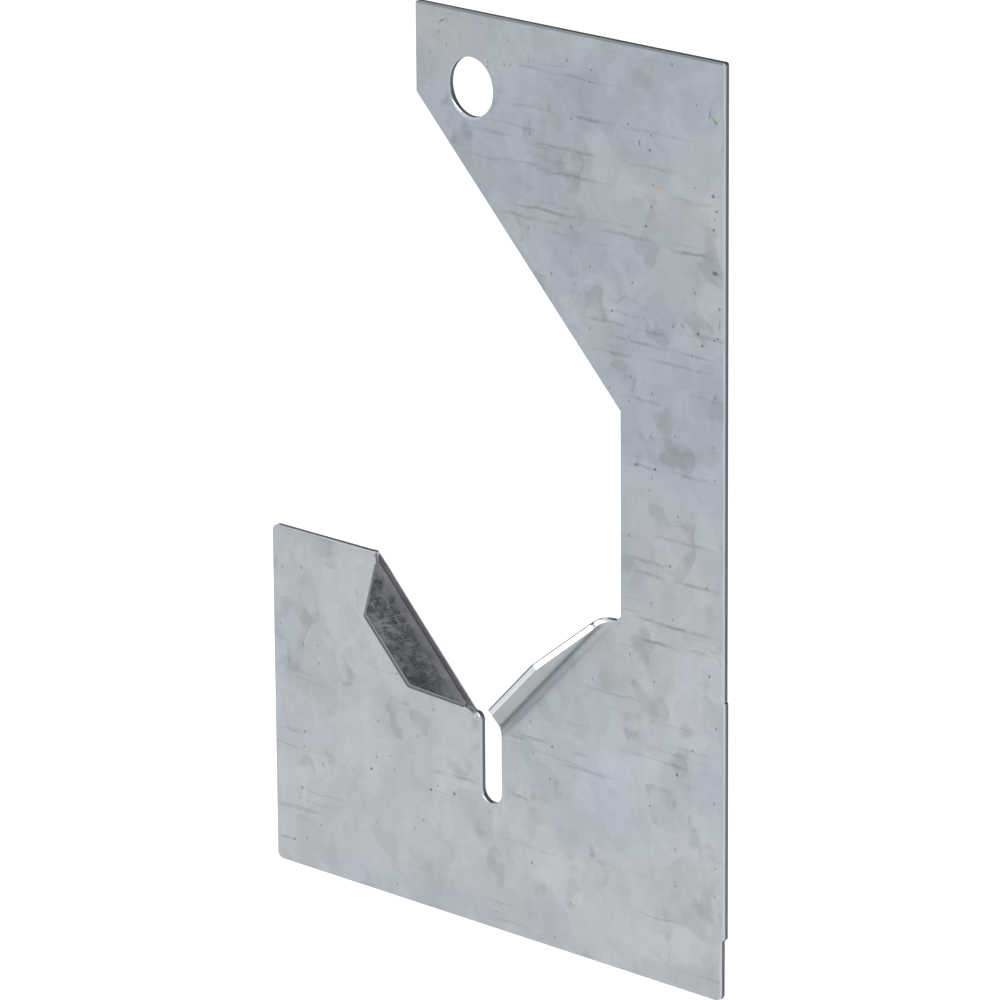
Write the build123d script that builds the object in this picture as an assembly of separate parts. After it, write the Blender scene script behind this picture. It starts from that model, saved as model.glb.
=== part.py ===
from build123d import *

import os
from math import cos, radians, sin, tan

# Cable support clip: one piece of galvanised sheet steel, cut out, slotted and folded.
# Millimetres. X runs along the sheet, Z points up, and the sheet's flat back lies in Y = 0
# with its front towards -Y. The origin is the centre of the fixing hole, on the back.

# The sheet
SHEET_HEIGHT = 101.6
SHEET_WIDTH = 67.5
THICKNESS = 0.7
EDGE_ROLL = 0.2             # rounding that the punch leaves along the front edges
CORNER_RADIUS = 0.8         # outer corners of the hook
ARM_CORNER_RADIUS = 0.3     # corners of the arm

# The arm, with the fixing hole in its free corner
ARM_WIDTH = 44.3            # length of the top edge
ARM_SIDE = 9.9              # height of the arm's short side edge
BRACE_SLOPE = 45.0          # degrees from level of the edge that runs down from the arm
HOLE_DIAMETER = 6.5
HOLE_INSET = 8.15           # from the top edge and from the arm's side edge to the hole's centre
RIM_WIDTH = 0.55            # rounding of the hole's front rim, measured on the sheet
RIM_DEPTH = 0.35            # the same, measured into the thickness
RIM_SHIFT = 0.24            # the rim's rounding sits below the hole's centre, so it is deepest there

# The opening between the arm and the hook, where the cables go in
BACK_STRIP = 14.7           # width of the strip behind the opening
HOOK_HEIGHT = 39.1          # top of the hook's tip, and of the two folded flanges
THROAT_CORNER = 0.63        # from the upper end of the inner fold to the side of the opening

# The two flanges of the cradle, folded forward along sloping lines
CRADLE_DEPTH = 18.54        # from the top of the hook down to where the fold lines would meet
FOLD_SLOPE = 45.0           # degrees of each fold line from level
FOLD_RADIUS = 0.8           # inside radius of the fold
FOLD_TURN = 94.2            # degrees that each flange is turned out of the sheet
FLANGE_DEPTH = 7.08         # from the back of the sheet to the flange's free edge
FLANGE_CORNER = 0.6         # rounding of the free edge's two corners
NEUTRAL_SHARE = 0.42        # how deep in the thickness the sheet keeps its length in a fold

# The flanges' end cuts, in degrees from square to the fold in the flat blank
INNER_FOOT_CUT = 45.0
INNER_HEAD_CUT = 46.9
OUTER_FOOT_CUT = 39.6
OUTER_HEAD_CUT = 45.0
OUTER_FOOT_START = 3.55     # along the outer fold from where the fold lines would meet

# The relief slot between the flanges, and the shoulder beside it below the outer one
SLOT_WIDTH = 3.0
SLOT_SHIFT = -0.17          # from the middle of the sheet to the slot's centre line
SLOT_FLOOR = 14.3           # height of the slot's rounded end above the bottom edge
SHOULDER_TOP = 24.25        # height of the shoulder above the bottom edge
SHOULDER_WIDTH = 1.5
SHOULDER_RADIUS = 0.9

# The back edge, sheared in three strokes that don't quite meet in line
TAB_TOP = 33.3              # height of the upper step
TAB_FOOT = 6.7              # height of the lower step
TAB_PROUD = 0.12            # the middle stroke stands out of the upper one
FOOT_INSET = 0.3            # the lowest stroke stands back from the upper one

# How finely the fold is drawn
FOLD_SECTIONS = 7

# Places that follow from the sizes
top = HOLE_INSET
arm_end = -HOLE_INSET
back_edge = arm_end + ARM_WIDTH
hook_edge = back_edge - SHEET_WIDTH
bottom = top - SHEET_HEIGHT
centre = (back_edge + hook_edge) / 2
throat = back_edge - BACK_STRIP
hook_top = bottom + HOOK_HEIGHT
slope = radians(FOLD_SLOPE)
turn = radians(FOLD_TURN)
fold_meet = hook_top - CRADLE_DEPTH
slot_centre = centre + SLOT_SHIFT
slot_left = slot_centre - SLOT_WIDTH / 2
slot_right = slot_centre + SLOT_WIDTH / 2
inner_foot = (slot_right - centre) / cos(slope)
inner_head = (throat - THROAT_CORNER - centre) / cos(slope)
outer_head = CRADLE_DEPTH / sin(slope)
outer_radius = FOLD_RADIUS + THICKNESS
neutral_radius = FOLD_RADIUS + NEUTRAL_SHARE * THICKNESS


def fold_height(distance):
    """Height of either fold line at a distance to the side of the sheet's middle."""
    return fold_meet + distance * tan(slope)


def rounded(face, corners):
    """The face with each listed corner, a point and a radius, rounded."""
    for point, radius in corners:
        corner = face.vertices().sort_by_distance(point)[0]
        face = fillet(corner, radius)
    return face


def rolled(front, seams):
    """The sheet with its front edges rolled over, apart from those that pass the seam points."""
    joined = [front.edges().sort_by_distance(seam)[0] for seam in seams]
    cut = [edge for edge in front.edges() if not any(edge.is_same(seam) for seam in joined)]
    return fillet(cut, EDGE_ROLL)


def outline():
    """The flat part of the sheet as a face, up to the two fold lines."""
    arm_foot = top - ARM_SIDE
    throat_top = arm_foot - (throat - arm_end) * tan(radians(BRACE_SLOPE))
    step = bottom + TAB_FOOT
    foot = back_edge - FOOT_INSET
    tab = back_edge + TAB_PROUD
    face = make_face(
        Polyline(
            (back_edge, top),
            (arm_end, top),
            (arm_end, arm_foot),
            (throat, throat_top),
            (throat, fold_height(throat - centre)),
            (centre, fold_meet),
            (centre - CRADLE_DEPTH / tan(slope), hook_top),
            (hook_edge, hook_top),
            (hook_edge, bottom),
            (foot, bottom),
            (foot, step),
            (tab, step + FOOT_INSET + TAB_PROUD),
            (tab, bottom + TAB_TOP - TAB_PROUD),
            (back_edge, bottom + TAB_TOP),
            close=True,
        )
    )
    hook_corners = [(hook_edge, hook_top), (hook_edge, bottom), (foot, bottom)]
    arm_corners = [(back_edge, top), (arm_end, top), (arm_end, arm_foot)]
    face = rounded(face, [(point, CORNER_RADIUS) for point in hook_corners])
    return rounded(face, [(point, ARM_CORNER_RADIUS) for point in arm_corners])


def shoulder():
    """The small step that the blank keeps between the outer fold and the slot."""
    shoulder_top = bottom + SHOULDER_TOP
    left = slot_left - SHOULDER_WIDTH
    face = make_face(
        Polyline(
            (slot_left, shoulder_top),
            (left, shoulder_top),
            (left, fold_height(centre - left)),
            (slot_left, fold_height(centre - slot_left) - THICKNESS),
            close=True,
        )
    )
    return rounded(face, [((slot_left, shoulder_top), SHOULDER_RADIUS)])


def blank():
    """The flat part of the sheet, with the slot and with all its front edges rolled."""
    slot_end = bottom + SLOT_FLOOR + SLOT_WIDTH / 2
    slot_length = fold_meet - slot_end + SLOT_WIDTH
    slot = Pos(slot_centre, slot_end + slot_length / 2) * Rectangle(SLOT_WIDTH, slot_length)
    slot += Pos(slot_centre, slot_end) * Circle(SLOT_WIDTH / 2)
    sheet = extrude(Plane.XZ * (outline() - slot + shoulder()), amount=THICKNESS)
    halfway = CRADLE_DEPTH / tan(slope) / 2
    seams = [(centre + side * halfway, -THICKNESS, fold_height(halfway)) for side in (-1, 1)]
    return rolled(sheet.faces().sort_by(Axis.Y)[0], seams)


def fixing_hole():
    """What the punch takes out of the sheet, with the lopsided rounding of the front rim."""
    hole = extrude(Plane.XZ * Circle(HOLE_DIAMETER / 2), amount=THICKNESS)
    inner = HOLE_DIAMETER / 2 - RIM_SHIFT
    skin = -THICKNESS
    arc = EllipticalCenterArc((inner + RIM_WIDTH, skin + RIM_DEPTH), RIM_WIDTH, RIM_DEPTH, 180, arc_size=90)
    corners = Polyline(arc @ 1, (0, skin), (0, skin + RIM_DEPTH), arc @ 0)
    rim = revolve(make_face([arc, corners]), Axis.Y)
    return hole + Pos(0, 0, -RIM_SHIFT) * rim


def flange(foot, foot_cut, head, head_cut):
    """A flange on the inner side of the slot, with the fold that joins it to the sheet.

    The foot and the head are the fold's ends, measured along it from where the fold lines
    meet. Both end cuts were made in the flat blank, and they carry on round the fold.
    """
    fold_line = Plane((centre, 0, fold_meet), x_dir=(cos(slope), 0, sin(slope)), z_dir=(0, -1, 0))
    foot_slant = tan(radians(foot_cut))
    head_slant = tan(radians(head_cut))
    foot_roll = EDGE_ROLL / cos(radians(foot_cut))
    head_roll = EDGE_ROLL / cos(radians(head_cut))

    def ends(run):
        """Both ends along the fold line, at a distance beyond it in the flat blank."""
        return foot + run * foot_slant, head - run * head_slant

    def section(angle):
        """The sheet's section through the fold, turned about the fold's axis."""
        low, high = ends(neutral_radius * angle)
        rolled_height = FOLD_RADIUS + EDGE_ROLL
        line = EllipticalCenterArc((low + foot_roll, rolled_height), foot_roll, EDGE_ROLL, 180, arc_size=90)
        line += Line(line @ 1, (high - head_roll, FOLD_RADIUS))
        line += EllipticalCenterArc((high - head_roll, rolled_height), head_roll, EDGE_ROLL, 270, arc_size=90)
        line += Polyline(line @ 1, (high, outer_radius), (low, outer_radius), line @ 0)
        radial = Plane((0, 0, outer_radius), x_dir=(1, 0, 0), z_dir=(0, cos(angle), sin(angle)))
        return radial * make_face(line)

    last = FOLD_SECTIONS - 1
    fold = loft([section(turn * number / last) for number in range(FOLD_SECTIONS)])

    outward = Vector(0, sin(turn), -cos(turn))
    leaf_start = neutral_radius * turn
    leaf_length = (FLANGE_DEPTH - outer_radius + outer_radius * cos(turn)) / sin(turn)
    low, high = ends(leaf_start)
    low_free, high_free = ends(leaf_start + leaf_length)
    free_corners = [(low_free, leaf_length), (high_free, leaf_length)]
    face = make_face(Polyline((low, 0), *free_corners, (high, 0), close=True))
    face = rounded(face, [(point, FLANGE_CORNER) for point in free_corners])
    bearing_side = Plane(
        Vector(0, 0, outer_radius) + outward * outer_radius, x_dir=(1, 0, 0), z_dir=-outward
    )
    leaf = extrude(bearing_side * face, amount=THICKNESS)
    seam = Vector((low + high) / 2, 0, outer_radius) + outward * FOLD_RADIUS
    leaf = rolled(leaf.faces().sort_by_distance(seam)[0], [seam])
    return fold_line * (fold + leaf)


def support_clip():
    """The blank with both flanges folded up, the outer one made as a mirror image."""
    inner = flange(inner_foot, INNER_FOOT_CUT, inner_head, INNER_HEAD_CUT)
    outer = flange(OUTER_FOOT_START, OUTER_FOOT_CUT, outer_head, OUTER_HEAD_CUT)
    sheet = blank() + inner + mirror(outer, about=Plane.YZ.offset(centre))
    return sheet - fixing_hole()


os.makedirs("parts", exist_ok=True)
export_step(support_clip(), "parts/support_clip.step")
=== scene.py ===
from math import atan2, cos, hypot, radians, sin, tan

import bpy
from mathutils import Matrix, Vector


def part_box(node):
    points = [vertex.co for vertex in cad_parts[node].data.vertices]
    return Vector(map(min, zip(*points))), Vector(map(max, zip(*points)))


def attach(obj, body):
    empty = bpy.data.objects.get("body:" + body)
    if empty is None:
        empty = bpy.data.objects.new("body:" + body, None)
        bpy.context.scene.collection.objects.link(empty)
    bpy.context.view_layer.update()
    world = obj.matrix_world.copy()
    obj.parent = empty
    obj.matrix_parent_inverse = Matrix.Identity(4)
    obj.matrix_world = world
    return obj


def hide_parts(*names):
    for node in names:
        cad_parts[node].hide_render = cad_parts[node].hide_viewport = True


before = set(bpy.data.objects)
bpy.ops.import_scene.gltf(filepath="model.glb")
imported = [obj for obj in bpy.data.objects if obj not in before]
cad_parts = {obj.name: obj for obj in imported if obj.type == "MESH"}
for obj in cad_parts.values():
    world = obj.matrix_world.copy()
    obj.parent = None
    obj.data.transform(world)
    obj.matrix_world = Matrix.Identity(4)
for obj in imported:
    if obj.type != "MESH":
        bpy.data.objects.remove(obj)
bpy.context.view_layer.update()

MM = 0.001

sheet_low, sheet_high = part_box("support_clip")
SHEET_TOP = sheet_high.z / MM

# Sizes of the folded sheet, in millimetres, as its source has them
THICKNESS = 0.7
FOLD_CENTRE = 2.4               # where the two fold lines would meet, along the sheet
FOLD_MEET = -72.89              # and in height
FOLD_SLOPE = radians(45.0)
FOLD_RADIUS = 0.8
OUTSIDE_RADIUS = FOLD_RADIUS + THICKNESS
FOLD_TURN = radians(94.2)
NEUTRAL_SHARE = 0.42            # how deep in the thickness the sheet keeps its length in a bend
NEUTRAL_RADIUS = FOLD_RADIUS + NEUTRAL_SHARE * THICKNESS
FOLD_LENGTH = NEUTRAL_RADIUS * FOLD_TURN

# Where each fold's foot and head lie along it, each followed by the slope of the cut there in degrees
INNER_FOLD = (1.88, 45.0, 26.05, 46.9)
OUTER_FOLD = (3.55, 39.6, 26.22, 45.0)

# How far a point of the mesh may lie off a fold's true shape and still belong to it
FACE_SLACK = 0.001
SKIN_SLACK = 0.005
END_SLACK = 0.05
END_WIDENING = 0.6
BEND_TOP_SLACK = 0.2

# The shallow groove in a flange's bearing side, past the bend: how far up, and its share of the thickness
SEAM_START, SEAM_END = 1.85, 2.01
SEAM_GROOVE = 0.04

# The back has its own part of every pattern, and marks drawn on the front fade out through the thickness
BACK_SHIFT = 40.0
DEPTH_STRETCH = 3.5

# How the sheet's mesh is joined and smoothed
MERGE_DISTANCE = 0.002 * MM
SMOOTH_UP_TO = radians(34)
FLAT_FACE_WEIGHT = 60


def deselect_all():
    bpy.ops.object.select_all(action="DESELECT")


# The sheet, with its place in the flat blank kept on every point
def round_fold(along, away, height, fold):
    """How deep in the sheet a point of a flange lies, and how far round it; None off the flange."""
    foot, foot_cut, head, head_cut = fold
    reach = max(away, 0.0)
    spare = END_SLACK + END_WIDENING * max(height - THICKNESS, 0.0)
    low = foot + reach * tan(radians(foot_cut)) - spare
    high = head - reach * tan(radians(head_cut)) + spare
    raised = OUTSIDE_RADIUS - height
    radius = hypot(away, raised)
    in_ring = FOLD_RADIUS - SKIN_SLACK < radius < OUTSIDE_RADIUS + SKIN_SLACK
    on_fold = away > FACE_SLACK and in_ring and low < along < high
    if height <= THICKNESS + FACE_SLACK and not on_fold:
        return None
    angle = atan2(away, raised)
    if angle <= FOLD_TURN and height < OUTSIDE_RADIUS + BEND_TOP_SLACK:
        return (radius - FOLD_RADIUS) / THICKNESS, NEUTRAL_RADIUS * angle
    outward = away * sin(FOLD_TURN) + raised * cos(FOLD_TURN)
    onward = away * cos(FOLD_TURN) - raised * sin(FOLD_TURN)
    return (outward - FOLD_RADIUS) / THICKNESS, FOLD_LENGTH + onward


def place_in_blank(point):
    """The point's place in the flat blank, its depth from front to back, and its way up a flange.

    The way up is above nought on the inner flange, below it on the outer one, and nought off both.
    """
    x, height, z = point.x / MM, -point.y / MM, point.z / MM
    for side, fold in ((1, INNER_FOLD), (-1, OUTER_FOLD)):
        level = (x - FOLD_CENTRE) * side
        if level < 0:
            continue
        along = level * cos(FOLD_SLOPE) + (z - FOLD_MEET) * sin(FOLD_SLOPE)
        away = (z - FOLD_MEET) * cos(FOLD_SLOPE) - level * sin(FOLD_SLOPE)
        found = round_fold(along, away, height, fold)
        if found:
            depth, run = found
            flat_level = along * cos(FOLD_SLOPE) - run * sin(FOLD_SLOPE)
            flat_z = FOLD_MEET + along * sin(FOLD_SLOPE) + run * cos(FOLD_SLOPE)
            return FOLD_CENTRE + side * flat_level, flat_z, min(max(depth, 0.0), 1.0), run * side
    return x, z, min(max(1.0 - height / THICKNESS, 0.0), 1.0), 0.0


def bearing_normal(side):
    """The way that the bearing side of the inner (1) or outer (-1) flange faces."""
    level, upright = -side * sin(FOLD_SLOPE), cos(FOLD_SLOPE)
    return Vector((level * sin(FOLD_TURN), cos(FOLD_TURN), upright * sin(FOLD_TURN)))


def close_seam(piece):
    """Bring the shallow groove between each bend and its leaf up to the bearing side."""
    for vertex in piece.data.vertices:
        depth, run = place_in_blank(vertex.co)[2:]
        if SEAM_START < abs(run) < SEAM_END and 1.0 - SEAM_GROOVE < depth < 1.0:
            side = 1 if run > 0 else -1
            vertex.co += bearing_normal(side) * (1.0 - depth) * THICKNESS * MM


def keep_places(piece):
    """Keep each point's place in the blank, and its depth, way up and flange, for the finish to read."""
    blank = piece.data.attributes.new("blank", "FLOAT_VECTOR", "POINT")
    sheet = piece.data.attributes.new("sheet", "FLOAT_VECTOR", "POINT")
    for number, vertex in enumerate(piece.data.vertices):
        x, z, depth, run = place_in_blank(vertex.co)
        blank.data[number].vector = (x + BACK_SHIFT * depth, z, DEPTH_STRETCH * depth)
        sheet.data[number].vector = (depth, abs(run), 1.0 if run < 0 else 0.0)


def folded_sheet():
    """The sheet as one closed surface, smooth round its rolled edges and flat on its faces."""
    deselect_all()
    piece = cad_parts["support_clip"].copy()
    piece.data = piece.data.copy()
    piece.name = "folded_sheet"
    bpy.context.collection.objects.link(piece)
    piece.select_set(True)
    bpy.context.view_layer.objects.active = piece
    bpy.ops.object.mode_set(mode="EDIT")
    bpy.ops.mesh.select_all(action="SELECT")
    bpy.ops.mesh.remove_doubles(threshold=MERGE_DISTANCE)
    bpy.ops.object.mode_set(mode="OBJECT")
    bpy.ops.mesh.customdata_custom_splitnormals_clear()
    close_seam(piece)
    bpy.ops.object.shade_smooth_by_angle(angle=SMOOTH_UP_TO)
    weighted = piece.modifiers.new("flat_faces", "WEIGHTED_NORMAL")
    weighted.mode = "FACE_AREA"
    weighted.weight = FLAT_FACE_WEIGHT
    weighted.keep_sharp = True
    bpy.ops.object.modifier_apply(modifier=weighted.name)
    keep_places(piece)
    return piece


# Node helpers
def tree_of(name):
    """A new material, its node tree and its shader."""
    material = bpy.data.materials.new(name)
    material.use_nodes = True
    tree = material.node_tree
    return material, tree, tree.nodes["Principled BSDF"]


def feed(tree, socket, value):
    """Set a socket from another node's output or from a plain value."""
    if isinstance(value, bpy.types.NodeSocket):
        tree.links.new(value, socket)
    elif value is not None:
        socket.default_value = value


def maths(tree, operation, first, second=None):
    node = tree.nodes.new("ShaderNodeMath")
    node.operation = operation
    feed(tree, node.inputs[0], first)
    feed(tree, node.inputs[1], second)
    return node.outputs[0]


def times(tree, first, second):
    return maths(tree, "MULTIPLY", first, second)


def ramp(tree, value, low, high, start=0.0, end=1.0, smooth=True):
    """Map a value's range low..high to start..end and hold it there."""
    node = tree.nodes.new("ShaderNodeMapRange")
    node.interpolation_type = "SMOOTHSTEP" if smooth else "LINEAR"
    node.clamp = not smooth
    for name, number in (("From Min", low), ("From Max", high), ("To Min", start), ("To Max", end)):
        node.inputs[name].default_value = number
    feed(tree, node.inputs["Value"], value)
    return node.outputs["Result"]


def between(tree, value, start, full, hold, end):
    """One where a value lies between full and hold, fading to nought at start and end."""
    return times(tree, ramp(tree, value, start, full), ramp(tree, value, hold, end, 1.0, 0.0))


def darkened(tree, shade, mark, darkest):
    """The shade, taken down to its darkest share where a mark is at its strongest."""
    return times(tree, shade, ramp(tree, mark, 0.0, 1.0, 1.0, darkest, smooth=False))


def stretched(tree, vector, along, upright, shift=(0.0, 0.0, 0.0)):
    node = tree.nodes.new("ShaderNodeMapping")
    node.inputs["Scale"].default_value = (along, upright, 1.0)
    node.inputs["Location"].default_value = shift
    feed(tree, node.inputs["Vector"], vector)
    return node.outputs["Vector"]


def turned(tree, vector, angle):
    node = tree.nodes.new("ShaderNodeMapping")
    node.inputs["Rotation"].default_value = (0.0, 0.0, angle)
    feed(tree, node.inputs["Vector"], vector)
    return node.outputs["Vector"]


def noise_node(tree, vector, scale, detail, rough=0.5):
    node = tree.nodes.new("ShaderNodeTexNoise")
    node.noise_dimensions = "2D"
    node.inputs["Scale"].default_value = scale
    node.inputs["Detail"].default_value = detail
    node.inputs["Roughness"].default_value = rough
    feed(tree, node.inputs["Vector"], vector)
    return node


def noise(tree, vector, scale, detail=2.0, rough=0.5):
    return noise_node(tree, vector, scale, detail, rough).outputs["Fac"]


def cell_numbers(tree, node):
    """The red, green and blue of a cell pattern, each a number of its own for every cell."""
    parts = tree.nodes.new("ShaderNodeSeparateColor")
    feed(tree, parts.inputs[0], node.outputs["Color"])
    return parts.outputs


def crystals(tree, vector, scale, softness):
    """The numbers of soft-edged cells."""
    node = tree.nodes.new("ShaderNodeTexVoronoi")
    node.voronoi_dimensions = "2D"
    node.feature = "SMOOTH_F1"
    node.inputs["Scale"].default_value = scale
    node.inputs["Smoothness"].default_value = softness
    feed(tree, node.inputs["Vector"], vector)
    return cell_numbers(tree, node)


def mixed(tree, share, first, second, blend="MIX"):
    node = tree.nodes.new("ShaderNodeMix")
    node.data_type = "RGBA"
    node.blend_type = blend
    colours = [socket for socket in node.inputs if socket.type == "RGBA"]
    feed(tree, node.inputs[0], share)
    feed(tree, colours[0], first)
    feed(tree, colours[1], second)
    return next(socket for socket in node.outputs if socket.type == "RGBA")


def kept(tree, name):
    node = tree.nodes.new("ShaderNodeAttribute")
    node.attribute_name = name
    return node.outputs["Vector"]


def parts_of(tree, vector):
    node = tree.nodes.new("ShaderNodeSeparateXYZ")
    feed(tree, node.inputs[0], vector)
    return node.outputs


def vector_maths(tree, operation, *values):
    node = tree.nodes.new("ShaderNodeVectorMath")
    node.operation = operation
    for number, value in enumerate(values):
        feed(tree, node.inputs[number], value)
    return node.outputs["Value" if operation in ("LENGTH", "DOT_PRODUCT") else "Vector"]


def wavered(tree, place, size, amount):
    """The place moved about by soft noise, so that nothing in a pattern runs dead straight."""
    wander = noise_node(tree, place, 1 / size, detail=1.0).outputs["Color"]
    centred = vector_maths(tree, "SUBTRACT", wander, (0.5, 0.5, 0.5))
    return vector_maths(tree, "MULTIPLY_ADD", centred, (amount, amount, 0.0), place)


def strongest_of(tree, marks):
    strongest = None
    for mark in marks:
        strongest = mark if strongest is None else maths(tree, "MAXIMUM", strongest, mark)
    return strongest


# Marks on the front, in millimetres of the flat blank. Streaks and slanted scratches: start, end and strength
STREAKS = (
    (-7.6, -0.6, -4.4, -0.6, 0.25), (3.6, 0.2, 5.7, 0.4, 0.2), (3.9, -0.8, 13.5, -0.8, 0.35),
    (13.0, -0.8, 21.3, -0.7, 0.6), (20.6, -0.7, 33.7, -0.7, 0.35), (-1.9, -4.0, 7.6, -4.6, 0.4),
    (7.0, -4.5, 20.9, -4.4, 0.5), (20.0, -4.4, 32.1, -4.3, 0.3), (-2.4, -7.1, 8.2, -7.2, 0.35),
    (7.6, -7.2, 21.1, -7.3, 0.55), (3.5, -11.7, 18.0, -11.4, 0.5), (17.0, -11.4, 25.1, -11.2, 0.3),
    (3.5, -12.7, 10.8, -12.7, 0.5), (10.0, -12.7, 14.5, -12.6, 0.3), (28.2, -7.0, 36.0, -7.2, 0.4),
    (17.0, -11.9, 28.0, -12.6, 0.5), (27.0, -12.6, 36.1, -12.6, 0.7), (15.2, -21.9, 24.4, -22.0, 0.5),
    (22.9, -21.9, 29.2, -22.0, 0.4), (18.1, -20.8, 26.1, -20.6, 0.4), (18.7, -23.5, 30.0, -23.3, 0.45),
    (29.0, -23.3, 35.9, -23.5, 0.45), (17.2, -25.3, 24.4, -25.0, 0.5), (23.4, -25.0, 35.9, -24.8, 0.45),
    (20.4, -29.7, 29.2, -29.4, 0.4), (21.8, -36.7, 27.8, -36.6, 0.45), (27.0, -36.6, 35.9, -36.6, 0.4),
    (24.9, -43.9, 35.7, -43.7, 0.45), (21.6, -46.9, 29.2, -46.8, 0.55), (21.6, -48.3, 29.0, -48.3, 0.5),
    (28.0, -48.3, 36.2, -48.2, 0.55), (21.7, -53.5, 36.0, -53.3, 0.75), (22.9, -55.8, 30.9, -55.4, 0.65),
    (30.0, -55.4, 36.0, -55.4, 0.45), (-30.4, -70.9, -25.3, -70.7, 0.4), (-28.9, -71.6, -22.5, -71.5, 0.3),
    (-30.6, -77.9, -26.6, -77.5, 0.4), (-7.5, -77.6, -4.0, -77.4, 0.35), (-4.5, -77.4, 1.0, -77.3, 0.5),
    (4.4, -70.5, 8.4, -71.0, 0.55), (4.7, -70.1, 11.8, -70.5, 0.5), (13.6, -70.4, 17.3, -70.4, 0.35),
    (4.3, -77.4, 8.8, -77.3, 0.45), (-12.4, -70.7, -9.3, -70.8, 0.35), (-31.4, -90.7, -28.2, -90.7, 0.45),
    (20.0, -56.7, 24.3, -56.9, 0.3),
)
RISING_SCRATCHES = ((-4.9, 6.0, -3.4, 7.1, 0.7), (-4.9, 5.0, -4.4, 5.5, 0.4), (34.8, 1.4, 35.3, 2.1, 0.5))
FALLING_SCRATCHES = ((34.1, 2.4, 35.4, 1.5, 0.7), (30.0, -20.0, 30.8, -21.0, 0.6))

# Upright scratches: middle, half length and strength
UPRIGHT_SCRATCHES = (
    (-3.5, 4.0, 0.5, 0.6), (-3.4, 6.7, 0.5, 0.4), (24.3, -2.1, 0.5, 0.7), (34.2, 2.6, 0.9, 0.7),
    (35.5, -19.5, 0.6, 0.6), (11.4, -0.5, 0.8, 0.35), (8.5, 4.1, 0.7, 0.3),
)

# Specks: middle and strength
SPECKS = (
    (5.6, 5.9, 0.35), (5.0, 3.2, 0.5), (2.5, 3.1, 0.4), (17.5, 4.6, 0.5), (22.7, -0.3, 0.5),
    (25.8, -2.6, 0.7), (35.1, -7.5, 0.8), (34.7, -9.5, 0.7), (25.2, -10.7, 0.7), (11.6, -18.2, 0.6),
    (35.5, -17.7, 0.7), (32.5, -20.9, 0.7), (33.1, -22.1, 0.7), (35.3, -21.0, 0.6), (23.8, -36.7, 0.7),
    (26.5, -36.7, 0.8),
    (33.8, -48.1, 0.6), (29.7, -41.2, 0.6), (28.6, -46.8, 0.7), (31.8, -66.3, 0.6), (34.2, -57.7, 0.7),
    (29.6, -69.6, 0.8), (11.4, -70.6, 0.8), (-26.6, -77.5, 0.6), (-13.2, -77.4, 0.6), (-16.2, -79.5, 0.8),
    (-7.0, -79.8, 0.8), (-3.4, -79.4, 0.8), (-27.1, -84.2, 0.7), (-28.5, -90.6, 0.8), (-8.2, -83.6, 0.5),
)

# Smudges: middle, half width, half height and strength
SMUDGES = (
    (24.6, 4.5, 1.9, 1.1, 0.5), (16.3, 1.4, 1.2, 1.5, 0.45), (11.7, -6.5, 1.9, 1.5, 0.3),
    (7.9, -9.4, 1.5, 0.8, 0.45), (15.0, -13.4, 1.6, 1.7, 0.5), (23.0, -15.2, 1.5, 1.2, 0.45),
    (22.1, -19.2, 2.4, 0.4, 0.6), (20.8, -24.8, 2.2, 1.2, 0.35), (20.0, -61.2, 2.6, 2.2, 0.4),
    (23.7, -66.6, 1.9, 1.0, 0.4), (14.8, -68.1, 1.2, 0.6, 0.25), (10.6, -2.7, 0.6, 1.4, 0.35),
    (26.3, -29.5, 0.9, 0.4, 0.4), (31.0, -34.2, 3.0, 0.6, 0.35),
)

# Rust spots and dark pits: middle, half width and half height
RUST_SPOTS = ((27.0, -6.3, 0.44, 0.36), (34.6, 2.0, 0.24, 0.2))
DARK_PITS = ((34.6, -6.0, 0.32, 0.25), (34.9, -14.1, 0.56, 0.36))

# Half widths of the drawn marks, the share of them at full strength, and how much the smudges are spread
STREAK_HALF_WIDTH = 0.30
SCRATCH_HALF_WIDTH = 0.13
SPECK_HALF_SIZE = (0.27, 0.24)
STREAK_CORE = 0.1
MARK_CORE = 0.2
SMUDGE_SPREAD = (1.25, 1.3)
LINE_LENGTH_SHARE = 0.55        # of a line's length, to each side of its middle
RISING_SLOPE, FALLING_SLOPE = radians(40), radians(-42)


def blot(tree, place, middle, size, strength, core=0.0):
    """A soft oval mark on the front: its strength up to its core, and nought at its rim and past it."""
    scale = (1 / size[0], 1 / size[1], 1.0)
    shift = (-middle[0] / size[0], -middle[1] / size[1], 0.0)
    reach = vector_maths(tree, "LENGTH", vector_maths(tree, "MULTIPLY_ADD", place, scale, shift))
    return ramp(tree, reach, core, 1.0, strength, 0.0)


def level_line(tree, place, row, half_width, core):
    """A drawn line that runs level along the sheet, as an oval stretched very long."""
    x_start, z_start, x_end, z_end, strength = row
    middle = ((x_start + x_end) / 2, (z_start + z_end) / 2)
    size = ((x_end - x_start) * LINE_LENGTH_SHARE, half_width)
    return blot(tree, place, middle, size, strength, core)


def level_lines(tree, place, rows, half_width, core):
    return strongest_of(tree, (level_line(tree, place, row, half_width, core) for row in rows))


def round_marks(tree, place, rows, strength):
    """Oval marks of one strength, each with its middle, half width and half height."""
    return strongest_of(tree, (
        blot(tree, place, (x, z), (wide, high), strength, MARK_CORE) for x, z, wide, high in rows
    ))


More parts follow.
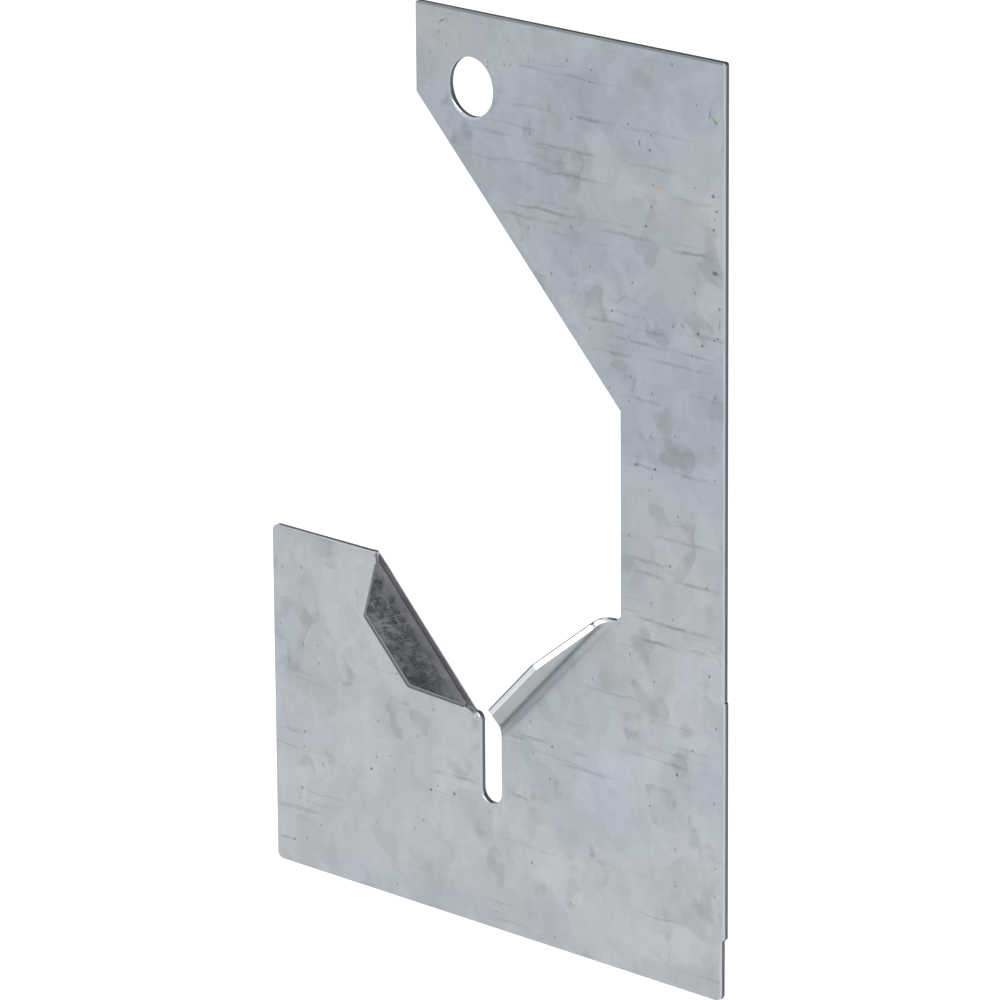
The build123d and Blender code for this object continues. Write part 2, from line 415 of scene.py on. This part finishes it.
def slanted_lines(tree, place, rows, slope):
    """Drawn lines at one slope, in a frame turned to lie along them."""
    along_slope = turned(tree, place, -slope)
    levelled = []
    for x_start, z_start, x_end, z_end, strength in rows:
        half = hypot(x_end - x_start, z_end - z_start) / 2
        x, z = (x_start + x_end) / 2, (z_start + z_end) / 2
        level, upright = x * cos(slope) + z * sin(slope), z * cos(slope) - x * sin(slope)
        levelled.append((level - half, upright, level + half, upright, strength))
    return level_lines(tree, along_slope, levelled, SCRATCH_HALF_WIDTH, MARK_CORE)


# Zinc finish
ZINC_BLUE = (0.402, 0.446, 0.505, 1.0)
ZINC_GREY = (0.428, 0.460, 0.503, 1.0)
ZINC_WARM = (0.462, 0.473, 0.492, 1.0)
ZINC_OLIVE = (0.375, 0.404, 0.402, 1.0)
SHEAR_BRIGHT = (0.72, 0.73, 0.75, 1.0)
# Dark of the rough fracture, also used for painted shade on the top edge and the outer flange's end cuts
SHEAR_DARK_AND_SHADE = (0.10, 0.105, 0.115, 1.0)
# Painted shade for the inner fold's crease
CREASE_PAINTED_SHADE = (0.21, 0.225, 0.205, 1.0)
# Painted light for the outside of the outer fold's bend
OUTER_BEND_PAINTED_LIGHT = (0.66, 0.64, 0.69, 1.0)
# Painted light for the inner flange's underside, as if lit from below
UNDERSIDE_PAINTED_LIGHT = (0.93, 0.93, 0.89, 1.0)
RUBBED_DARK = (0.125, 0.15, 0.145, 1.0)
RUST = (0.60, 0.38, 0.22, 1.0)
PIT = (0.085, 0.08, 0.085, 1.0)

# How many of each lie in a millimetre
HUE_PATCHES = 0.05
LARGE_CRYSTALS, MIDDLE_CRYSTALS, SMALL_CRYSTALS = 0.16, 0.36, 0.85
CRYSTAL_GROUPS = 0.33
SCATTERED_DOTS = 0.34
RUBBED_SMEARS, RUBBED_PATCHES, RUBBED_DOTS = 0.62, 0.5, 2.6
RAGGED_EDGE = 1.4
FINE_PORES = 3.2

# How warm the lower end is, and the warmth at which one hue turns into the next
WARMTH_BELOW = 0.22
BLUE_TO_GREY = (0.40, 0.54)
GREY_TO_WARM = (0.54, 0.72)

# How the brightness swings from crystal to crystal and along the grain
LARGE_SWING = (0.955, 1.045)
MIDDLE_SWING = (0.965, 1.03)
SMALL_SWING = GRAIN_SWING = (0.975, 1.02)

# Crystals whose number lies past these are darker or olive, in groups and by this much
DARKER_FROM, DARKER_GROUPS, DARKER_BY = (0.74, 0.88), (0.42, 0.62), 0.13
OLIVE_FROM, OLIVE_GROUPS, OLIVE_BY = (0.66, 0.84), (0.38, 0.66), 0.35

# Scattered dots: their radius as a share of a cell, their strength, and which cells have one
DOT_RADIUS = (0.02, 0.055)
DOT_STRENGTH = 0.55
DOTTED_CELLS = (0.70, 0.74)

# How much lighter the lower half is painted, a painted reflection of the floor, and how the bump is made up
LOWER_HALF_PAINTED_LIGHT = 0.055
PORE_SHARE, GRAIN_SHARE = 0.35, 0.3
BUMP_HEIGHT = 0.012 * MM

# What each kind of mark leaves of the zinc's brightness at its strongest
STREAK_DARKEST = 0.52
SMUDGE_DARKEST = 0.76
MARK_DARKEST = 0.24

# How fully each of these covers what lies under it
SPOT_COVER = 0.75
RUBBED_COVER = 0.85
LIGHT_SCRATCH_COVER = 0.75
CREASE_COVER = 0.42
OUTER_BEND_LIGHT_COVER = 0.75
FRACTURE_COVER = 0.8
BURNISHED_COVER = (0.4, 0.85)   # on the flat sheet, and up the flanges
OUTER_CUT_SHADE_COVER = 0.93
TOP_EDGE_SHADE_COVER = 0.6

# Painted light on the hole's wall at its lower left, where the dark fracture is taken away
LIT_WALL_MIDDLE, LIT_WALL_SIZE = (-2.0, -2.7), (1.9, 1.7)
LIT_WALL_STRENGTH = 0.85

# Heights between which the warmth fades out, where the lower half is painted lighter, and where the band of
# painted shade along the top edge is
WARMTH_FADES = (-78.0, -45.0)
LOWER_HALF = (-102.0, -84.0, -62.0, -42.0)
TOP_SHADE_BAND = (SHEET_TOP - 0.34, SHEET_TOP - 0.12)

# Depths, from the front (0) to the back (1), between which each tone fades in or out
INNER_SIDE = (0.02, 0.3)
OUTSIDE_OF_BEND = (0.9, 0.99)
BEARING_SIDE = (0.96, 0.99)
BEHIND_ROLL = (0.04, 0.14)
BURNISHED_ENDS = (0.30, 0.40)
FRACTURE_STARTS = (0.32, 0.44)
RAGGED_BY = 0.015
BACK_CORNER = (0.985, 0.998)
OUTER_CUT_SHADE_DEPTH = (0.01, 0.08, 0.55, 0.9)

# The same for the way up a flange, in millimetres, and for the painted crease shade across and along its line
RUBBED_FROM = (0.3, 1.5)
RUBBED_MORE, RUBBED_MORE_BY = (1.5, 5.5), 0.10
UNDERSIDE_FROM = (1.3, 3.0)
OUTER_BEND_LIGHT_RUN = (0.4, 0.9, 2.1, 3.3)
FRACTURE_WIDENS, WIDENS_BY = (0.2, 1.2), 0.40
BURNISHED_MORE = (0.2, 1.4)
OUTER_CUT_SHADE_FROM = (0.4, 1.2)
CREASE_ACROSS = (-0.3, 0.3, 1.1, 2.9)
CREASE_ALONG = (0.8, 2.6, 13.0, 27.5)

# Crossing light scratches: the slope, spread and half width of each set
LIGHT_SCRATCH_SETS = ((0.62, 0.9, 0.016), (-0.85, 0.7, 0.014))

# The noise between which a rubbed smear fades in, and the outer fold's share of the inner one's inside tones
SMEARED = (0.36, 0.74)
OUTER_FOLD_SHARE = 0.15

# The roughness of the smoothest and roughest crystals, and what each mark adds to it
SMOOTHEST, ROUGHEST = 0.36, 0.44
FRACTURE_ADDS, BURNISHED_ADDS, RUST_ADDS, CREASE_ADDS = 0.15, -0.10, 0.4, 0.15


def broad_hue(tree, place):
    """Bluish and warm grey areas as wide as a finger, warmer towards the bottom of the sheet."""
    wide = noise(tree, stretched(tree, place, 0.6, 1.0), HUE_PATCHES)
    height = parts_of(tree, place)[1]
    warmth = maths(tree, "ADD", wide, ramp(tree, height, *WARMTH_FADES, WARMTH_BELOW, 0.0))
    colour = mixed(tree, ramp(tree, warmth, *BLUE_TO_GREY), ZINC_BLUE, ZINC_GREY)
    return mixed(tree, ramp(tree, warmth, *GREY_TO_WARM), colour, ZINC_WARM)


def spangle(tree, place, colour):
    """Faint zinc crystals in three sizes, with sparse darker and olive ones, and painted light on the lower
    half.
    """
    bent = wavered(tree, place, size=4.0, amount=2.2)
    large = crystals(tree, stretched(tree, bent, 0.9, 1.0), LARGE_CRYSTALS, softness=0.25)
    middle = crystals(tree, stretched(tree, bent, 1.0, 0.8, (7.0, 2.0, 0.0)), MIDDLE_CRYSTALS, softness=0.2)
    small = crystals(tree, stretched(tree, bent, 1.2, 0.8, (1.0, 5.0, 0.0)), SMALL_CRYSTALS, softness=0.3)
    shade = ramp(tree, large[0], 0.0, 1.0, *LARGE_SWING)
    shade = times(tree, shade, ramp(tree, middle[0], 0.0, 1.0, *MIDDLE_SWING))
    shade = times(tree, shade, ramp(tree, small[0], 0.1, 0.9, *SMALL_SWING))
    groups = noise(tree, place, CRYSTAL_GROUPS)
    darker = ramp(tree, middle[1], *DARKER_FROM)
    darker = times(tree, darker, ramp(tree, groups, *DARKER_GROUPS, 0.0, DARKER_BY))
    shade = maths(tree, "SUBTRACT", shade, darker)
    # Painted light: the lower half made lighter, standing in for the floor's reflection
    lower = between(tree, parts_of(tree, place)[1], *LOWER_HALF)
    shade = maths(tree, "ADD", shade, times(tree, lower, LOWER_HALF_PAINTED_LIGHT))
    olive = ramp(tree, large[1], *OLIVE_FROM)
    olive = times(tree, olive, ramp(tree, groups, *OLIVE_GROUPS, 0.0, OLIVE_BY))
    return mixed(tree, olive, colour, ZINC_OLIVE), shade, middle[2]


def rolling(tree, place):
    """Dark streaks and a fine grain along the sheet, as the rolling mill left them."""
    uneven = wavered(tree, wavered(tree, place, size=3.0, amount=0.5), size=0.55, amount=0.12)
    field = noise(tree, stretched(tree, uneven, 0.045, 1.7), 1.0, detail=1.0)
    groups = noise(tree, stretched(tree, place, 0.06, 0.13, (4.0, 7.0, 0.0)), 1.0)
    faint = times(tree, ramp(tree, field, 0.63, 0.78, 0.0, 0.33), ramp(tree, groups, 0.48, 0.66))
    drawn = level_lines(tree, uneven, STREAKS, STREAK_HALF_WIDTH, STREAK_CORE)
    broken = noise(tree, stretched(tree, place, 0.9, 0.4), 1.0, detail=1.0)
    drawn = times(tree, drawn, ramp(tree, broken, 0.34, 0.62, 0.5, 1.0))
    grain = noise(tree, stretched(tree, place, 0.16, 5.5), 1.0, rough=0.6)
    return maths(tree, "MAXIMUM", faint, drawn), grain


def scratches(tree, place):
    """Short dark scratches that rise, fall or stand upright."""
    rising = slanted_lines(tree, place, RISING_SCRATCHES, RISING_SLOPE)
    falling = slanted_lines(tree, place, FALLING_SCRATCHES, FALLING_SLOPE)
    upright = strongest_of(tree, (
        blot(tree, place, (x, z), (SCRATCH_HALF_WIDTH, half), strength, MARK_CORE)
        for x, z, half, strength in UPRIGHT_SCRATCHES
    ))
    return strongest_of(tree, (rising, falling, upright))


def smudges(tree, place):
    """Wide soft dark areas."""
    blurred = wavered(tree, place, size=2.2, amount=1.9)
    return strongest_of(tree, (
        blot(tree, blurred, (x, z), (wide * SMUDGE_SPREAD[0], high * SMUDGE_SPREAD[1]), strength)
        for x, z, wide, high, strength in SMUDGES
    ))


def scattered_dots(tree, place):
    """Tiny dark dots, in about a quarter of the cells of a wide pattern."""
    node = tree.nodes.new("ShaderNodeTexVoronoi")
    node.voronoi_dimensions = "2D"
    node.inputs["Scale"].default_value = SCATTERED_DOTS
    uneven = wavered(tree, stretched(tree, place, 1.0, 0.7), size=0.5, amount=0.12)
    feed(tree, node.inputs["Vector"], uneven)
    numbers = cell_numbers(tree, node)
    dot = ramp(tree, node.outputs["Distance"], *DOT_RADIUS, DOT_STRENGTH, 0.0)
    return times(tree, dot, ramp(tree, numbers[0], *DOTTED_CELLS))


def wear(tree, place):
    """Dark scratches, specks and dots together, and smudges."""
    ragged = wavered(tree, wavered(tree, place, size=1.2, amount=0.35), size=0.3, amount=0.09)
    scratch = scratches(tree, ragged)
    speck = strongest_of(tree, (
        blot(tree, ragged, (x, z), SPECK_HALF_SIZE, strength, MARK_CORE) for x, z, strength in SPECKS
    ))
    smudge = smudges(tree, place)
    dark = strongest_of(tree, (scratch, speck, scattered_dots(tree, place)))
    return dark, smudge


def worn_face(tree, place):
    """The zinc's colour with its crystals, streaks and wear; also one crystal number and the grain."""
    colour, shade, crystal = spangle(tree, place, broad_hue(tree, place))
    streak, grain = rolling(tree, place)
    dark_mark, smudge = wear(tree, place)
    shade = times(tree, shade, ramp(tree, grain, 0.3, 0.7, *GRAIN_SWING, smooth=False))
    shade = darkened(tree, shade, streak, STREAK_DARKEST)
    shade = darkened(tree, shade, smudge, SMUDGE_DARKEST)
    shade = darkened(tree, shade, dark_mark, MARK_DARKEST)
    tone = tree.nodes.new("ShaderNodeCombineColor")
    for number in range(3):
        feed(tree, tone.inputs[number], shade)
    return mixed(tree, 1.0, colour, tone.outputs[0], blend="MULTIPLY"), crystal, grain


def rust_and_pits(tree, place, colour):
    """Small rust marks and dark pits, towards the right-hand edge."""
    ragged = wavered(tree, place, size=0.35, amount=0.25)
    rust = round_marks(tree, ragged, RUST_SPOTS, SPOT_COVER)
    pit = round_marks(tree, ragged, DARK_PITS, SPOT_COVER)
    colour = mixed(tree, rust, colour, RUST)
    return mixed(tree, pit, colour, PIT), rust


def light_scratches(tree, place):
    """Crossing light scratches, each set where a stretched noise is at its middle, and bright dots."""
    light = 0.0
    for slope, spread, half_width in LIGHT_SCRATCH_SETS:
        field = noise(tree, stretched(tree, turned(tree, place, slope), 0.05, spread), 1.0, detail=1.0)
        off_line = maths(tree, "ABSOLUTE", maths(tree, "SUBTRACT", field, 0.5))
        light = maths(tree, "MAXIMUM", light, ramp(tree, off_line, 0.0, half_width, 1.0, 0.0))
    dots = ramp(tree, noise(tree, place, RUBBED_DOTS, rough=0.7), 0.64, 0.74)
    patchy = ramp(tree, noise(tree, place, RUBBED_PATCHES, detail=1.0), 0.40, 0.58)
    return maths(tree, "MAXIMUM", times(tree, light, patchy), dots)


def rubbed_sides(tree, place, depth, run, colour):
    """The bearing sides of the flanges, with dark rubbed smears, light scratches and dots."""
    where = times(tree, ramp(tree, depth, *BEARING_SIDE), ramp(tree, run, *RUBBED_FROM))
    smear = noise(tree, wavered(tree, place, size=1.5, amount=1.2), RUBBED_SMEARS, detail=4.0, rough=0.72)
    smear = maths(tree, "ADD", smear, ramp(tree, run, *RUBBED_MORE, 0.0, RUBBED_MORE_BY))
    smear = ramp(tree, smear, *SMEARED)
    light = light_scratches(tree, place)
    smear = times(tree, smear, where)
    light = times(tree, light, where)
    colour = mixed(tree, times(tree, smear, RUBBED_COVER), colour, RUBBED_DARK)
    return mixed(tree, times(tree, light, LIGHT_SCRATCH_COVER), colour, SHEAR_BRIGHT)


def inner_crease(tree, flat_place):
    """The mask of painted shade along the inner fold's line, fading up the flange and towards the fold's
    upper end.
    """
    onward = vector_maths(tree, "DOT_PRODUCT", flat_place, (-sin(FOLD_SLOPE), cos(FOLD_SLOPE), 0.0))
    upward = vector_maths(tree, "DOT_PRODUCT", flat_place, (cos(FOLD_SLOPE), sin(FOLD_SLOPE), 0.0))
    past_line = maths(tree, "ADD", onward, FOLD_CENTRE * sin(FOLD_SLOPE) - FOLD_MEET * cos(FOLD_SLOPE))
    along_line = maths(tree, "SUBTRACT", upward, FOLD_CENTRE * cos(FOLD_SLOPE) + FOLD_MEET * sin(FOLD_SLOPE))
    across = between(tree, past_line, *CREASE_ACROSS)
    return times(tree, across, between(tree, along_line, *CREASE_ALONG))


def fold_tones(tree, flat_place, depth, run, outer, colour):
    """Folds: painted shade in the crease, painted light on the inner flange's underside past it, and painted
    light round the outer one's outside.
    """
    inside = ramp(tree, depth, *INNER_SIDE, 1.0, 0.0)
    inside = times(tree, inside, ramp(tree, outer, 0.0, 1.0, 1.0, OUTER_FOLD_SHARE, smooth=False))
    # Painted shade in the inner fold's crease
    crease_shade = times(tree, inside, inner_crease(tree, flat_place))
    colour = mixed(tree, times(tree, crease_shade, CREASE_COVER), colour, CREASE_PAINTED_SHADE)
    # Painted light on the flange's underside past the crease
    colour = mixed(tree, times(tree, inside, ramp(tree, run, *UNDERSIDE_FROM)), colour, UNDERSIDE_PAINTED_LIGHT)
    # Painted light round the outside of the outer fold's bend
    outside = times(tree, ramp(tree, depth, *OUTSIDE_OF_BEND), between(tree, run, *OUTER_BEND_LIGHT_RUN))
    outside = times(tree, outside, times(tree, outer, OUTER_BEND_LIGHT_COVER))
    return mixed(tree, outside, colour, OUTER_BEND_PAINTED_LIGHT), crease_shade


def cut_edges(tree, place, flat_place, depth, run, outer, colour):
    """The cut edges: a burnished band behind the rolled corner, then the rough fracture.

    The top edge and the end cuts of the outer flange get painted shade, which stops short of the back of the
    outer cuts, so that a lighter line stays there as a painted glint.
    """
    raggedness = ramp(tree, noise(tree, place, RAGGED_EDGE), 0.3, 0.7, -RAGGED_BY, RAGGED_BY)
    ragged_depth = maths(tree, "ADD", depth, raggedness)
    ragged_depth = maths(tree, "SUBTRACT", ragged_depth, ramp(tree, run, *FRACTURE_WIDENS, 0.0, WIDENS_BY))
    behind_roll = ramp(tree, depth, *BEHIND_ROLL)
    burnished = times(tree, behind_roll, ramp(tree, ragged_depth, *BURNISHED_ENDS, 1.0, 0.0))
    fracture = ramp(tree, ragged_depth, *FRACTURE_STARTS)
    fracture = times(tree, fracture, ramp(tree, depth, *BACK_CORNER, 1.0, 0.0))
    # Painted light: no dark fracture where light falls on the hole's wall
    lit_wall = blot(tree, flat_place, LIT_WALL_MIDDLE, LIT_WALL_SIZE, LIT_WALL_STRENGTH)
    fracture = times(tree, fracture, maths(tree, "SUBTRACT", 1.0, lit_wall))
    burnished_cover = ramp(tree, run, *BURNISHED_MORE, *BURNISHED_COVER)
    colour = mixed(tree, times(tree, burnished, burnished_cover), colour, SHEAR_BRIGHT)
    colour = mixed(tree, times(tree, fracture, FRACTURE_COVER), colour, SHEAR_DARK_AND_SHADE)
    height = parts_of(tree, place)[1]
    # Painted shade along the top edge
    top_edge_shade = ramp(tree, height, *TOP_SHADE_BAND, 0.0, TOP_EDGE_SHADE_COVER)
    colour = mixed(tree, top_edge_shade, colour, SHEAR_DARK_AND_SHADE)
    # Painted shade on the outer flange's end cuts, leaving a painted glint at their back
    outer_cut_shade = times(tree, outer, between(tree, depth, *OUTER_CUT_SHADE_DEPTH))
    outer_cut_shade = times(tree, outer_cut_shade, ramp(tree, run, *OUTER_CUT_SHADE_FROM, 0.0, OUTER_CUT_SHADE_COVER))
    return mixed(tree, outer_cut_shade, colour, SHEAR_DARK_AND_SHADE), burnished, fracture


def fine_relief(tree, place, grain):
    """The bump of fine pores and of the rolling grain."""
    pores = noise(tree, place, FINE_PORES, detail=3.0, rough=0.6)
    relief = maths(tree, "ADD", times(tree, pores, PORE_SHARE), times(tree, grain, GRAIN_SHARE))
    bump = tree.nodes.new("ShaderNodeBump")
    bump.inputs["Strength"].default_value = 1.0
    bump.inputs["Distance"].default_value = BUMP_HEIGHT
    feed(tree, bump.inputs["Height"], relief)
    return bump.outputs["Normal"]


def zinc_finish():
    """Galvanised sheet with its spangle, rolling streaks, wear, rust, folds and cut edges."""
    material, tree, shader = tree_of("galvanised_zinc")
    place = kept(tree, "blank")
    depth, run, outer = parts_of(tree, kept(tree, "sheet"))

    colour, crystal, grain = worn_face(tree, place)
    colour, rust = rust_and_pits(tree, place, colour)
    colour = rubbed_sides(tree, place, depth, run, colour)
    flat_place = vector_maths(tree, "MULTIPLY_ADD", depth, (-BACK_SHIFT, 0.0, 0.0), place)
    colour, crease_shade = fold_tones(tree, flat_place, depth, run, outer, colour)
    colour, burnished, fracture = cut_edges(tree, place, flat_place, depth, run, outer, colour)
    feed(tree, shader.inputs["Base Color"], colour)
    shader.inputs["Metallic"].default_value = 1.0

    roughness = ramp(tree, crystal, 0.0, 1.0, SMOOTHEST, ROUGHEST)
    marks = ((fracture, FRACTURE_ADDS), (burnished, BURNISHED_ADDS), (rust, RUST_ADDS), (crease_shade, CREASE_ADDS))
    for mark, added in marks:
        roughness = maths(tree, "ADD", roughness, times(tree, mark, added))
    feed(tree, shader.inputs["Roughness"], roughness)
    feed(tree, shader.inputs["Normal"], fine_relief(tree, place, grain))
    return material


clip = folded_sheet()
clip.data.materials.clear()
clip.data.materials.append(zinc_finish())
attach(clip, "root")
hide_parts("support_clip")
deselect_all()


# Camera, at the photograph's angle and distance
CAMERA_AZIMUTH = radians(44.29)
CAMERA_ELEVATION = radians(16.58)
CAMERA_ROLL = radians(-0.42)
CAMERA_DISTANCE = 725.4 * MM
CAMERA_AIM = Vector((9.02, -5.95, -42.36)) * MM
CAMERA_LENS = 247.4
SENSOR_WIDTH = 36.0
NEAREST_SEEN = 10 * MM


def set_camera():
    camera = bpy.data.objects.new("camera", bpy.data.cameras.new("camera"))
    bpy.context.collection.objects.link(camera)
    camera.data.sensor_width = SENSOR_WIDTH
    camera.data.lens = CAMERA_LENS
    camera.data.clip_start = NEAREST_SEEN
    back = Vector((
        sin(CAMERA_AZIMUTH) * cos(CAMERA_ELEVATION),
        -cos(CAMERA_AZIMUTH) * cos(CAMERA_ELEVATION),
        sin(CAMERA_ELEVATION),
    ))
    level = Vector((cos(CAMERA_AZIMUTH), sin(CAMERA_AZIMUTH), 0.0))
    upward = back.cross(level)
    right = level * cos(CAMERA_ROLL) + upward * sin(CAMERA_ROLL)
    up = upward * cos(CAMERA_ROLL) - level * sin(CAMERA_ROLL)
    turn = Matrix((right, up, back)).transposed().to_4x4()
    camera.matrix_world = Matrix.Translation(CAMERA_AIM + back * CAMERA_DISTANCE) @ turn
    bpy.context.scene.camera = camera


# Studio, in metres and watts, with the key light and the dark card placed from the sheet's middle
FLOOR_DROP = 70 * MM
FLOOR_SIZE = 8.0
SKY_LIGHT = 0.72
SKY_COLOUR = (0.97, 0.985, 1.0, 1.0)
WHITE = (1.0, 1.0, 1.0, 1.0)
FLOOR_COLOUR = (0.9, 0.9, 0.9, 1.0)
FLOOR_ROUGHNESS = 0.9
FLOOR_LIFT_SEEN = 0.45
FLOOR_LIFT_MIRRORED = 0.1
KEY_PLACE = Vector((0.29, -0.67, 0.68)) * 0.9
KEY_SIZE, KEY_POWER = 0.42, 4.2
CARD_PLACE = Vector((0.0, 0.78, 0.62)) * 0.8
CARD_WIDTH, CARD_HEIGHT = 1.7, 0.95
CARD_COLOUR = (0.09, 0.0927, 0.0945, 1.0)
CARD_ROUGHNESS = 1.0


def background_rays(tree):
    """One for rays that should meet the plain white background, and nought for the rest."""
    path = tree.nodes.new("ShaderNodeLightPath")
    seen = maths(tree, "MAXIMUM", path.outputs["Is Camera Ray"], path.outputs["Is Glossy Ray"])
    return maths(tree, "MAXIMUM", seen, path.outputs["Is Transmission Ray"])


def set_world():
    world = bpy.data.worlds.new("studio")
    world.use_nodes = True
    bpy.context.scene.world = world
    tree = world.node_tree
    light = tree.nodes["Background"]
    light.inputs["Color"].default_value = SKY_COLOUR
    light.inputs["Strength"].default_value = SKY_LIGHT
    white = tree.nodes.new("ShaderNodeBackground")
    white.inputs["Color"].default_value = WHITE
    white.inputs["Strength"].default_value = 1.0
    either = tree.nodes.new("ShaderNodeMixShader")
    feed(tree, either.inputs[0], background_rays(tree))
    feed(tree, either.inputs[1], light.outputs[0])
    feed(tree, either.inputs[2], white.outputs[0])
    feed(tree, tree.nodes["World Output"].inputs["Surface"], either.outputs[0])


def matt_finish(thing, name, colour, roughness):
    """Give a studio thing one plain matt colour."""
    material, tree, shader = tree_of(name)
    shader.inputs["Base Color"].default_value = colour
    shader.inputs["Roughness"].default_value = roughness
    shader.inputs["Specular IOR Level"].default_value = 0.0
    thing.data.materials.append(material)
    return tree, shader


def set_floor():
    """A pale floor well below the hanging clip, white in view where the clip doesn't shade it."""
    deselect_all()
    bpy.ops.mesh.primitive_plane_add(size=FLOOR_SIZE, location=(0, 0, sheet_low.z - FLOOR_DROP))
    floor = bpy.context.object
    floor.name = "floor"
    tree, shader = matt_finish(floor, "pale_floor", FLOOR_COLOUR, FLOOR_ROUGHNESS)
    shader.inputs["Emission Color"].default_value = WHITE
    path = tree.nodes.new("ShaderNodeLightPath")
    mirrored = maths(tree, "MAXIMUM", path.outputs["Is Glossy Ray"], path.outputs["Is Transmission Ray"])
    seen_lift = times(tree, path.outputs["Is Camera Ray"], FLOOR_LIFT_SEEN)
    lift = maths(tree, "ADD", seen_lift, times(tree, mirrored, FLOOR_LIFT_MIRRORED))
    feed(tree, shader.inputs["Emission Strength"], lift)


def face_aim(thing, place, aim, axis):
    """Put a thing in its place, with one of its axes towards the aim."""
    thing.location = place
    thing.rotation_mode = "QUATERNION"
    thing.rotation_quaternion = (aim - place).to_track_quat(axis, "Y")


def set_key_light(aim):
    """A soft square light over the front, to the right."""
    data = bpy.data.lights.new("key", "AREA")
    data.shape = "SQUARE"
    data.size = KEY_SIZE
    data.energy = KEY_POWER
    lamp = bpy.data.objects.new("key", data)
    bpy.context.collection.objects.link(lamp)
    face_aim(lamp, aim + KEY_PLACE, aim, "-Z")


def set_dark_card(aim):
    """A dark card outside the view, which only the polished faces mirror."""
    deselect_all()
    bpy.ops.mesh.primitive_plane_add(size=1.0)
    card = bpy.context.object
    card.name = "card_behind"
    card.scale = (CARD_WIDTH, CARD_HEIGHT, 1.0)
    face_aim(card, aim + CARD_PLACE, aim, "Z")
    card.visible_camera = False
    card.visible_diffuse = False
    card.visible_shadow = False
    matt_finish(card, "card_behind", CARD_COLOUR, CARD_ROUGHNESS)


set_camera()
set_world()
set_floor()
middle = (sheet_low + sheet_high) / 2
set_key_light(middle)
set_dark_card(middle)

bpy.context.scene.view_settings.view_transform = "Standard"
